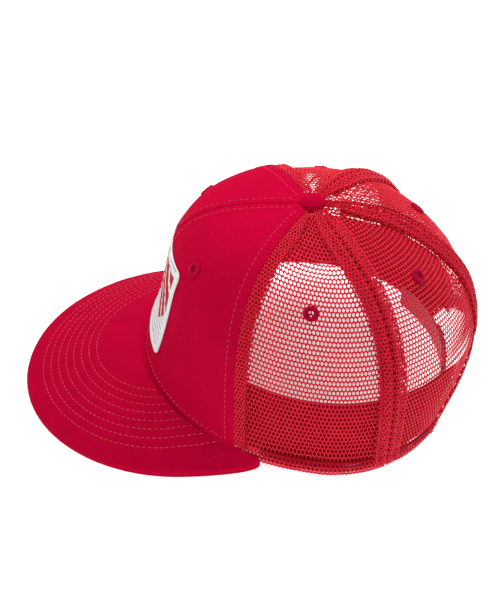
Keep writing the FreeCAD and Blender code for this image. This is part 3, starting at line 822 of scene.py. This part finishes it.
def hem(side, sign):
    start = HORN + 1.5
    finish = HEM_END
    mean_radius = 86.0
    length = rad(finish - start) * mean_radius
    centres = lattice(0.0, length, -0.9, 5.0)
    shrink = np.where(centres[:, 1] < 0, 0.35, 1.0)

    def mapping(points, lift):
        deg = sign * (start + np.degrees(points[:, 0] / mean_radius))
        v = points[:, 1]
        roll = 2.0 * np.sqrt(np.clip(1 - ((v - 2.6) / 3.9) ** 2, 0, 1)) - 0.9
        here = CROWN.look(CROWN.points, deg, v)
        ripple = 0.25 * np.sin(points[:, 0] * 0.55) * 0.6 + 0.2 * soft_noise(here, 11.0, 61)
        return CROWN.at(deg, np.maximum(v, -0.9), lift + roll + ripple * 0.5)

    net("rim_hem_" + side, centres, mapping, NET_HEM, hole=(0.50, 0.62), half=0.38,
        node="rim_hem_" + side, shrink=shrink)


hem("left", 1)
hem("right", -1)


# ray casting on the plain crown for pieces laid out by height and width
def crown_bvh():
    deg, part = np.meshgrid(np.arange(-184, 184.1, 2.0), np.linspace(0, 1, 120), indexing="ij")
    pts = CROWN.at(deg, CROWN.top(deg) * part)
    rows, cols = deg.shape
    return BVHTree.FromPolygons(pts.reshape(-1, 3).tolist(), grid_faces(rows, cols).tolist())


BVH = crown_bvh()


def cast(origin, direction):
    hit, normal, _, _ = BVH.ray_cast(Vector(origin), Vector(direction))
    if hit is None:
        hit, normal, _, _ = BVH.find_nearest(Vector(origin) + Vector(direction) * 40)
    normal = np.array(normal)
    if normal @ np.array(direction) > 0:
        normal = -normal
    return np.array(hit), normal


def arch_line(offset, count=181):
    """Points and normals on the rear surface along the arch, offset outward in mm."""
    pts, nrm = [], []
    for a in np.linspace(0, np.pi, count):
        x = math.cos(a) * (ARCH_HALF + offset)
        z = max(math.sin(a) * (ARCH_TALL + offset), 0.3)
        raised = z
        while BVH.ray_cast(Vector((x, 160, raised)), Vector((0, -1, 0)), 120)[0] is None and raised < z + 12:
            raised += 0.25
        p, n = cast((x, 160, raised), (0, -1, 0))
        p[2] -= min(raised - z, 0.8)
        pts.append(p)
        nrm.append(n)
    return np.array(pts), np.array(nrm)


def arch_binding():
    offsets = np.linspace(-1.2, 7.4, 15)
    lines = [arch_line(o) for o in offsets]
    pts = np.array([l[0] for l in lines])
    nrm = np.array([l[1] for l in lines])
    run = np.r_[0, np.cumsum(np.linalg.norm(np.diff(pts[3], axis=0), axis=1))]
    centres = lattice(-0.1, 6.4, 0.0, run[-1] - 0.5)

    def mapping(points, lift):
        # the foot on the hole strap's side stands back from the strap's swing
        foot = np.clip((30.0 - points[:, 1]) / 8.0, 0, 1)
        edge = np.clip((5.0 - points[:, 0]) / 6.0, 0, 1)
        side = points[:, 0] + 1.9 * foot * edge
        s = np.clip((side + 1.2) / (7.4 + 1.2) * 14, 0, 13.999)
        t = np.interp(points[:, 1], run, np.arange(len(run)))
        t = np.clip(t, 0, len(run) - 1.001)
        i, j = s.astype(int), t.astype(int)
        fs, ft = (s - i)[:, None], (t - j)[:, None]
        def blend(table):
            return ((table[i, j] * (1 - fs) + table[i + 1, j] * fs) * (1 - ft)
                    + (table[i, j + 1] * (1 - fs) + table[i + 1, j + 1] * fs) * ft)
        roll = 2.0 * np.sqrt(np.clip(1 - ((points[:, 0] - 3.0) / 4.6) ** 2, 0, 1)) - 0.9
        n = blend(nrm)
        return blend(pts) + n * (lift + roll)[:, None]

    net("arch_binding", centres, mapping, NET_DARK, hole=(0.36, 0.5), half=0.38, node="arch_binding")


arch_binding()


# sweatband, padding
def arch_limit(z):
    return ARCH_HALF * math.sqrt(max(0.0, 1 - (max(z, 0.0) / ARCH_TALL) ** 2))


def band_end(along):
    low, high = 120.0, 158.0
    for _ in range(30):
        mid = (low + high) / 2
        p = CROWN.look(CROWN.points, mid, along)
        if p[0] > max(arch_limit(float(p[2])), 14.0) + 2.6:
            low = mid
        else:
            high = mid
    return low


def sweatband():
    levels = np.linspace(0.5, BAND_TALL, 34)
    ends = np.array([band_end(a) for a in levels])
    share = np.linspace(-1, 1, 320)
    ss, aa = np.meshgrid(share, levels, indexing="ij")
    deg = ss * ends[None, :]
    taper = 9.0 * np.clip((np.abs(deg) - 138) / 20, 0, 1) ** 2
    aa = 1.5 + (aa - 1.5) * (BAND_TALL - taper - 1.5) / (BAND_TALL - 1.5)
    here = CROWN.look(CROWN.points, deg, aa)
    from_top = BAND_TALL - taper - aa
    puff = 0.35 * ridge(from_top, 2.0, 2.0) + 0.35 * ridge(aa, 3.0, 2.0) - 0.3 * ridge(from_top, 5.5, 0.8)
    wave_in = 0.25 * soft_noise(here, 24.0, 71) + 0.08 * soft_noise(here, 7.0, 72)
    outer = CROWN.at(deg, aa, -3.5 + puff * 0.5)
    inner = CROWN.at(deg, aa, -4.1 - puff + wave_in)
    obj = sheet("sweatband", outer, inner, SWEAT, np.stack([rad(deg) * 85, aa], -1))
    place(obj, "front", "sweatband")
    rows = []
    for level in (6.0, BAND_TALL - 5.5):
        end = band_end(level) - 1.5
        d = np.linspace(-end, end, 500)
        line = level - 9.0 * np.clip((np.abs(d) - 138) / 20, 0, 1) ** 2 * (level - 1.5) / (BAND_TALL - 1.5)
        p = CROWN.at(d, line, -4.35)
        rows.append((p, -CROWN.look(CROWN.normal, d, line)))
    stitches("sweatband_stitches", rows, "front")


sweatband()
deg, aa = np.meshgrid(np.linspace(-58, 58, 90), np.linspace(5, 36, 20), indexing="ij")
foam = crown_sheet("sweatband_foam", deg, aa, -2.5, -3.4, FOAM)
place(foam, "front", "sweatband_foam")


# eyelets: thread-wound rings
def eyelets():
    verts, faces = [], []
    around, minor = 144, 10
    for deg0 in (SEAM_FRONT / 2, -SEAM_FRONT / 2, (SEAM_FRONT + SEAM_REAR) / 2, -(SEAM_FRONT + SEAM_REAR) / 2,
                 (SEAM_REAR + 180) / 2, -(SEAM_REAR + 180) / 2):
        low = float(rim_height(rad(deg0)))
        goal = low + (TOP_Z - low) * 0.81
        alongs = np.linspace(40, 190, 1500)
        zs = CROWN.look(CROWN.points, np.full(alongs.shape, deg0), alongs)[:, 2]
        along = float(alongs[np.argmax(zs > goal)])
        c = CROWN.at(deg0, along, 0.55)
        n = CROWN.look(CROWN.normal, deg0, along)
        t = np.cross(n, (0, 0, 1))
        t /= np.linalg.norm(t)
        b = np.cross(n, t)
        start = len(verts)
        for i in range(around):
            a = 2 * math.pi * i / around
            thread = abs(math.sin(a * 17 + 0.3 * math.sin(3 * a)))
            wobble = 0.12 * math.sin(5 * a + deg0) + 0.08 * math.sin(9 * a)
            for j in range(minor):
                q = 2 * math.pi * j / minor
                bump = 0.82 + 0.24 * thread
                r = 2.85 + wobble + 1.45 * bump * math.cos(q)
                h = 0.95 * bump * math.sin(q)
                verts.append(c + (t * math.cos(a) + b * math.sin(a)) * r + n * h)
        for i in range(around):
            for j in range(minor):
                a0 = start + i * minor + j
                a1 = start + i * minor + (j + 1) % minor
                b0 = start + ((i + 1) % around) * minor + j
                b1 = start + ((i + 1) % around) * minor + (j + 1) % minor
                faces.append((a0, b0, b1, a1))
    obj = make_object("eyelets", np.array(verts), faces, RING)
    fix_normals(obj)
    place(obj, "crown", "eyelets")


eyelets()


# button cover
def button():
    verts, faces, uv = [], [], []
    around = 96
    profile = [(0.0, 5.3), (1.1, 5.27), (2.4, 5.1), (3.7, 4.7), (5.0, 4.0), (6.1, 3.05), (6.9, 2.0), (7.35, 1.0),
               (7.35, 0.25), (6.8, -0.1), (5.8, -0.1)]
    for k, (r, z) in enumerate(profile):
        for i in range(around):
            a = 2 * math.pi * i / around
            gather = 0.10 * math.sin(14 * a + 0.6 * math.sin(2 * a)) * max(0, (r - 5) / 3) ** 2
            rr = max(r + gather, 0.02)
            verts.append((rr * math.cos(a), TOP_SHIFT + rr * math.sin(a), TOP_Z + 0.3 + z))
            uv.append((r * math.cos(a), r * math.sin(a)))
        if k:
            base = (k - 1) * around
            for i in range(around):
                m = (i + 1) % around
                faces.append((base + i, base + around + i, base + around + m, base + m))
    faces.append(tuple(range(around)))
    last = (len(profile) - 1) * around
    faces.append(tuple(last + i for i in range(around))[::-1])
    obj = make_object("button_cover", np.array(verts), faces, TWILL, np.array(uv))
    fix_normals(obj)
    place(obj, "crown", "button_cover")


button()


# ------------------------------------------------------------ peak
PEAK_WIDE, PEAK_WIDE_Y, PEAK_LONG, PEAK_EDGE = 91.2, -80.1, 71.6, 4.2
TURN = 0.66


def peak_outline(share):
    share = np.asarray(share, float)
    horn = CROWN.look(CROWN.points, HORN, 0.0)
    hx, hy = horn[0] + 3.0, horn[1] + 1.0
    tip = -RIM_FRONT - PEAK_LONG
    a = np.pi / 2 * (1 - np.clip(share / TURN, 0, 1))
    b = np.pi / 2 * np.clip((share - TURN) / (1 - TURN), 0, 1)
    front = share <= TURN
    x = np.where(front, PEAK_WIDE * np.cos(a), hx + (PEAK_WIDE - hx) * np.cos(b))
    y = np.where(front, PEAK_WIDE_Y + (tip - PEAK_WIDE_Y) * np.sin(a), PEAK_WIDE_Y + (hy - PEAK_WIDE_Y) * np.sin(b))
    return x, y


def peak_point(share, out, drop, seam_gap=1.3):
    share, out = np.broadcast_arrays(np.asarray(share, float), np.asarray(out, float))
    amount = np.abs(share)
    deg = HORN * amount
    seam = CROWN.at(deg, np.zeros(deg.shape), seam_gap)
    seam_z = rim_height(rad(deg)) + 1.2
    ex, ey = peak_outline(amount)
    near = np.clip((amount - TURN) / (1 - TURN), 0, None)
    horn_z = rim_height(rad(HORN)) + 1.2
    ez = PEAK_EDGE + (horn_z - PEAK_EDGE) * near ** 1.5
    x = seam[..., 0] + (ex - seam[..., 0]) * out
    y = seam[..., 1] + (ey - seam[..., 1]) * out
    z = seam_z + (ez - seam_z) * out + 1.2 * np.sin(np.pi * np.clip(out, 0, 1)) * (1 - near)
    return np.stack([np.sign(share + 1e-12) * x, y, z - drop], -1)


def outline_distance(xy):
    s = np.linspace(0, 1, 500)
    x, y = peak_outline(s)
    line = np.stack([np.r_[-x[::-1], x], np.r_[y[::-1], y]], 1)
    best = np.full(len(xy), 1e9)
    for start in range(0, len(xy), 4000):
        part = xy[start:start + 4000]
        best[start:start + 4000] = np.sqrt(((part[:, None] - line[None]) ** 2).sum(-1).min(1))
    return best


STITCH_ROWS = [10.3 + 4.55 * k for k in range(8)]


def peak_cover(name, top):
    rows, cols = 300, 96
    share = np.linspace(-1, 1, rows)
    out = uneven(0.0, 1.0, cols, 0.6)
    ss, oo = np.meshgrid(share, out, indexing="ij")
    flat = peak_point(ss, oo, 0.0, 0.5 if top else 1.3)
    away = outline_distance(flat[..., :2].reshape(-1, 2)).reshape(ss.shape)
    groove = np.zeros(ss.shape)
    for level in STITCH_ROWS:
        groove += ridge(away, level, 0.95)
    lively = 0.12 * soft_noise(flat, 22.0, 81) + 0.05 * soft_noise(flat, 7.0, 82)
    edge_round = np.clip(np.maximum(1 - (1 - oo) / 0.0245, 1 - (1 - np.abs(ss)) / 0.029), 0, 1) ** 2
    seam_run = np.hypot(flat[..., 0] - flat[:, :1, 0], flat[..., 1] - flat[:, :1, 1])
    tuck = 1.7 * np.clip(1 - oo / 0.038, 0, 1) ** 0.7 - 0.25 * ridge(seam_run, 4.6, 1.6)
    if top:
        high = -0.55 + 0.38 * groove - lively + 2.15 * edge_round + tuck * (1 - edge_round)
        low = high + 0.75
        obj = sheet(name, flat - np.stack([0 * high, 0 * high, high], -1), flat - np.stack([0 * low, 0 * low, low], -1),
                    TWILL, flat[..., :2])
    else:
        high = 2.85 + 0 * groove - 1.1 * edge_round
        low = high + 0.8 - 0.30 * groove + lively * 0.5 - 0.35 * edge_round
        obj = sheet(name, flat - np.stack([0 * high, 0 * high, high], -1), flat - np.stack([0 * low, 0 * low, low], -1),
                    UNDER_SHADED, flat[..., :2])
    return obj


top_cover = peak_cover("peak_top_cover", True)
place(top_cover, "peak", "peak_top_cover")
under_cover = peak_cover("peak_under_cover", False)
place(under_cover, "peak", "peak_under_cover")


def peak_stitches():
    tree = BVHTree.FromObject(top_cover, bpy.context.evaluated_depsgraph_get())
    under_tree = BVHTree.FromObject(under_cover, bpy.context.evaluated_depsgraph_get())
    s = np.linspace(0, 1, 700)
    x, y = peak_outline(s)
    line = np.stack([np.r_[-x[::-1], x[1:]], np.r_[y[::-1], y[1:]]], 1)
    tangent = np.gradient(line, axis=0)
    tangent /= np.maximum(np.linalg.norm(tangent, axis=1, keepdims=True), 1e-9)
    inward = np.stack([-tangent[:, 1], tangent[:, 0]], 1)
    upper, lower = [], []
    for level in STITCH_ROWS:
        pts = line + inward * level
        ok = outline_distance(pts) > level - 0.12
        path, normals, path_low, normals_low = [], [], [], []
        for p in pts[ok]:
            deg = math.degrees(math.atan2(p[0], -p[1]))
            if abs(deg) < 100 and np.hypot(*p) < float(rim_radius(rad(deg))) + 1.3:
                continue
            hit, n, _, _ = tree.ray_cast(Vector((p[0] * MM, p[1] * MM, 0.2)), Vector((0, 0, -1)))
            if hit is None:
                continue
            path.append(np.array(hit) / MM)
            normals.append(np.array(n))
            hit, n, _, _ = under_tree.ray_cast(Vector((p[0] * MM, p[1] * MM, -0.2)), Vector((0, 0, 1)))
            if hit is not None:
                path_low.append(np.array(hit) / MM)
                normals_low.append(np.array(n))
        for source, n_source, target in ((path, normals, upper), (path_low, normals_low, lower)):
            pieces = [0] + [i for i in range(1, len(source)) if np.linalg.norm(source[i] - source[i - 1]) > 6] + [len(source)]
            for a, b in zip(pieces, pieces[1:]):
                if b - a > 5:
                    target.append((source[a:b], n_source[a:b]))
    stitches("peak_stitches_top", upper, "peak", length=2.3, gap=1.0, radius=0.25, lift=0.06)
    stitches("peak_stitches_under", lower, "peak", length=2.3, gap=1.0, radius=0.22, lift=0.02)


peak_stitches()


# crown stitching
def crown_stitches():
    rows = []
    for sign in (1, -1):
        along = np.linspace(3, float(CROWN.top(0)) - 11, 400)
        deg = sign * np.degrees(4.2 / CROWN.radius(np.zeros(400), along))
        rows.append(crown_path(deg, along, 0.62))
        along = np.linspace(3, float(CROWN.top(SEAM_FRONT)) - 12, 400)
        radius = CROWN.radius(np.full(400, sign * SEAM_FRONT), along)
        deg = sign * (SEAM_FRONT + 0.8 - np.degrees(5.8 / radius))
        rows.append(crown_path(deg, along, 0.64))
    deg = np.linspace(-SEAM_FRONT + 1.5, SEAM_FRONT - 1.5, 500)
    rows.append(crown_path(deg, np.full(500, 3.2), 0.42))
    stitches("front_seam_stitches", rows, "front", length=2.2, gap=1.1, radius=0.22, lift=0.04)
    band = []
    for sign in (1, -1):
        for shift in (-4.6, 4.6):
            along = np.linspace(6, float(CROWN.top(SEAM_REAR)) - 16, 400)
            radius = CROWN.radius(np.full(400, sign * SEAM_REAR), along)
            deg = sign * SEAM_REAR + np.degrees(shift / radius)
            band.append(crown_path(deg, along, 0.75))
    for shift in (-4.6, 4.6):
        along = np.linspace(ARCH_TALL + 10, float(CROWN.top(180)) - 16, 300)
        radius = CROWN.radius(np.full(300, 180.0), along)
        band.append(crown_path(180 + np.degrees(shift / radius), along, 0.75))
    stitches("seam_band_stitches", band, "crown", length=2.2, gap=1.1, radius=0.2, lift=0.04)


crown_stitches()


# blank front patch with an abstract band
def emblem():
    half, low, tall, corner = 33.0, 38.0, 56.0, 4.0
    cols, rows = 81, 61
    pts, nrm, uv = np.zeros((cols, rows, 3)), np.zeros((cols, rows, 3)), np.zeros((cols, rows, 2))
    for i, u in enumerate(uneven(-1, 1, cols, 0.4)):
        for j, v in enumerate(uneven(-1, 1, rows, 0.4)):
            x, z = u * half, v * tall / 2
            over_x, over_z = abs(x) - (half - corner), abs(z) - (tall / 2 - corner)
            if over_x > 0 and over_z > 0:
                stretch = corner / max(math.hypot(over_x, over_z), corner) if math.hypot(over_x, over_z) > corner else 1
                x = math.copysign(half - corner + over_x * stretch, x)
                z = math.copysign(tall / 2 - corner + over_z * stretch, z)
            p, n = cast((x, -160, low + tall / 2 + z), (0, 1, 0))
            pts[i, j], nrm[i, j], uv[i, j] = p, n, (x, z)
    border_in = np.minimum(half - np.abs(uv[..., 0]), tall / 2 - np.abs(uv[..., 1]))
    merrow = 0.5 * np.clip(1 - np.abs(border_in - 1.6) / 1.8, 0, 1)
    out = 1.25 + merrow + 0.06 * np.sin(uv[..., 1] * 4.2)
    obj = sheet("front_emblem", pts + nrm * out[..., None], pts + nrm * 0.75, PATCH, uv)
    place(obj, "front", "front_emblem")


emblem()

# ------------------------------------------------------------ CAD pieces that stay
for name, material in (("button_shell", METAL), ("button_prong", METAL), ("peak_board", BOARD),
                       ("stud_strap", STRAP), ("hole_strap", STRAP), ("hole_strap_root", STRAP)):
    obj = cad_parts[name]
    obj.data.materials.clear()
    obj.data.materials.append(material)

# ------------------------------------------------------------ floor, light, camera
floor_mat, nodes, links, shader = new_material("studio_floor")
shader.inputs["Base Color"].default_value = (0.80, 0.80, 0.80, 1)
shader.inputs["Roughness"].default_value = 0.9
shader.inputs["Specular IOR Level"].default_value = 0.0
shader.inputs["Emission Color"].default_value = (1, 1, 1, 1)
# the floor glows by emission, though it is no lamp: full strength outside the cap's rim ellipse hides the cap's cast
# shadow, and the dimmer emission inside the ellipse is painted shade under the cap
cap_shade_ellipse = nodes.new("ShaderNodeMapping")
cap_shade_ellipse.inputs["Location"].default_value = (0.0, 0.16, 0.0)
cap_shade_ellipse.inputs["Scale"].default_value = (1 / 0.093, 1 / 0.087, 1.0)
links.new(nodes.new("ShaderNodeTexCoord").outputs["Object"], cap_shade_ellipse.inputs["Vector"])
reach = nodes.new("ShaderNodeVectorMath")
reach.operation = "LENGTH"
links.new(cap_shade_ellipse.outputs[0], reach.inputs[0])
glow = nodes.new("ShaderNodeMapRange")
links.new(reach.outputs["Value"], glow.inputs["Value"])
for key, value in (("From Min", 0.62), ("From Max", 1.0), ("To Min", 0.38), ("To Max", 1.0)):
    glow.inputs[key].default_value = value
links.new(glow.outputs[0], shader.inputs["Emission Strength"])
floor_mesh = bpy.data.meshes.new("floor")
floor_mesh.from_pydata([(-6, -6, -0.001), (6, -6, -0.001), (6, 6, -0.001), (-6, 6, -0.001)], [], [(0, 1, 2, 3)])
floor_mesh.materials.append(floor_mat)
floor = bpy.data.objects.new("floor", floor_mesh)
bpy.context.scene.collection.objects.link(floor)

world = bpy.data.worlds.new("studio")
bpy.context.scene.world = world
world.use_nodes = True
world.node_tree.nodes["Background"].inputs[0].default_value = (1, 1, 1, 1)
glow = world.node_tree.nodes.new("ShaderNodeMapRange")
for key, value in (("To Min", 0.29), ("To Max", 1.0)):
    glow.inputs[key].default_value = value
world.node_tree.links.new(world.node_tree.nodes.new("ShaderNodeLightPath").outputs["Is Camera Ray"], glow.inputs["Value"])
world.node_tree.links.new(glow.outputs[0], world.node_tree.nodes["Background"].inputs[1])


def area_light(name, location, target, size, power):
    data = bpy.data.lights.new(name, "AREA")
    data.shape = "DISK"
    data.size = size
    data.energy = power
    obj = bpy.data.objects.new(name, data)
    obj.location = location
    way = Vector(target) - Vector(location)
    obj.rotation_euler = way.to_track_quat("-Z", "Y").to_euler()
    bpy.context.scene.collection.objects.link(obj)


area_light("key", (-0.25, -0.05, 0.72), (0, 0, 0.06), 0.5, 4.3)
area_light("fill", (1.0, -0.6, 0.7), (0, 0, 0.06), 0.9, 2.0)
area_light("back", (-0.5, 0.9, 0.8), (0, 0, 0.08), 0.8, 3.0)

AZ, EL, ROLL, DIST = rad(91.962), rad(40.867), rad(0.119), 0.97039
FOCAL_PX = 1665.2
back = Vector((math.sin(AZ) * math.cos(EL), -math.cos(AZ) * math.cos(EL), math.sin(EL)))
right = Vector((0, 0, 1)).cross(back).normalized()
up = back.cross(right)
right, up = right * math.cos(ROLL) + up * math.sin(ROLL), -right * math.sin(ROLL) + up * math.cos(ROLL)
base = Matrix((right, up, back)).transposed()
aim = Matrix.Rotation(math.atan2(323.035 - 250.0, FOCAL_PX), 3, "Y") @ Matrix.Rotation(math.atan2(372.535 - 300.0, FOCAL_PX), 3, "X")
camera_data = bpy.data.cameras.new("camera")
camera_data.lens = FOCAL_PX / 600 * 36
camera = bpy.data.objects.new("camera", camera_data)
camera.matrix_world = Matrix.Translation(back * DIST) @ (base @ aim).to_4x4()
bpy.context.scene.collection.objects.link(camera)
bpy.context.scene.camera = camera
bpy.context.scene.view_settings.view_transform = "Standard"
